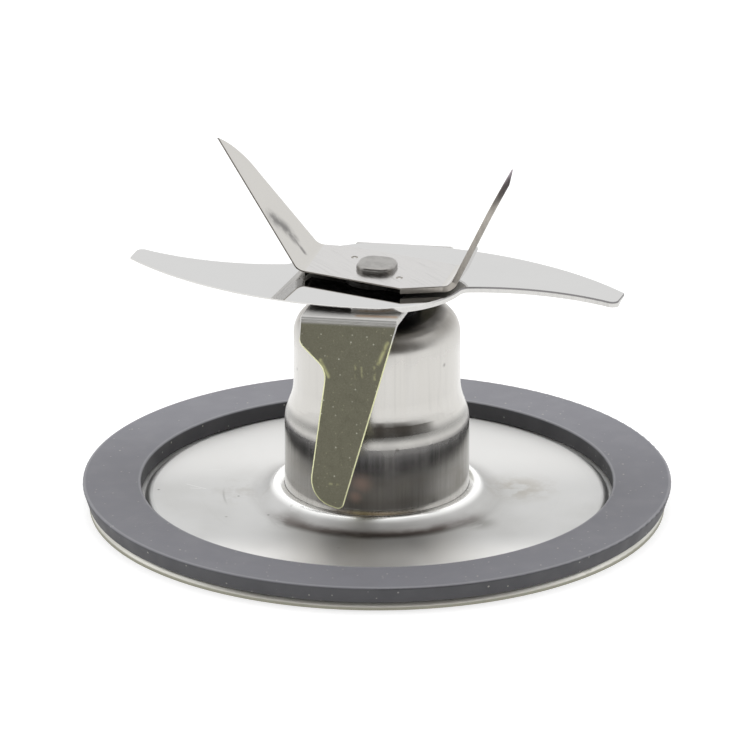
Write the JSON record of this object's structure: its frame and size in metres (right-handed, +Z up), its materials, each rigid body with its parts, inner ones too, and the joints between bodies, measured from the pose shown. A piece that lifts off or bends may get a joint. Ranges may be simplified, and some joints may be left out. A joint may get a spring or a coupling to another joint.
{
  "type": "blender blade assembly",
  "caption": "Blender blade unit: stamped blades on a spinning shaft above a drawn steel hub and base disc, with a loose rubber sealing gasket and a square drive socket underneath.",
  "frame": {"origin": "on the spin axis, level with the turned-down edge of the base disc's rim", "axes": "+Z up along the spin axis towards the blades; the picture looks along +Y with +X to the right"},
  "size_m": [0.0798, 0.0798, 0.0523],
  "materials": {
    "disc_steel": "satin pressed stainless steel with fine scratches",
    "hub_steel": "drawn stainless steel with fine upright draw marks",
    "gasket_rubber": "matt grey moulded rubber with pale specks",
    "blade_steel": "bright rolled stainless sheet with ground edges",
    "shaft_steel": "turned and peened steel",
    "cast_metal": "grey cast metal",
    "bronze": "oily sintered bronze",
    "black_rubber": "black seal rubber",
    "black_plastic": "black moulded plastic",
    "felt": "oil-soaked felt"
  },
  "bodies": {
    "base": {"base_disc": "disc_steel", "hub_shell": "hub_steel", "sealing_gasket": "gasket_rubber", "bearing_housing": "cast_metal", "hub_o_ring": "black_rubber", "shaft_seal": "black_rubber", "garter_spring": "shaft_steel", "upper_bush": "bronze", "oil_felt": "felt", "lower_bush": "bronze", "housing_retainer": "shaft_steel", "upper_thrust_washer": "black_plastic", "lower_thrust_washer": "black_plastic"},
    "rotor": {"drive_shaft": "shaft_steel", "spacer_collar": "black_plastic", "lower_blade": "blade_steel", "flat_blade": "blade_steel", "blade_washer": "shaft_steel", "upper_blade": "blade_steel", "retaining_clip": "shaft_steel", "drive_coupling": "cast_metal", "coupling_pin": "shaft_steel"}
  },
  "joints": [
    {"name": "blade_spin", "type": "hinge", "parent": "base", "child": "rotor", "pos_m": [0, 0, 0], "axis": [0, 0, 1], "continuous": true}
  ]
}
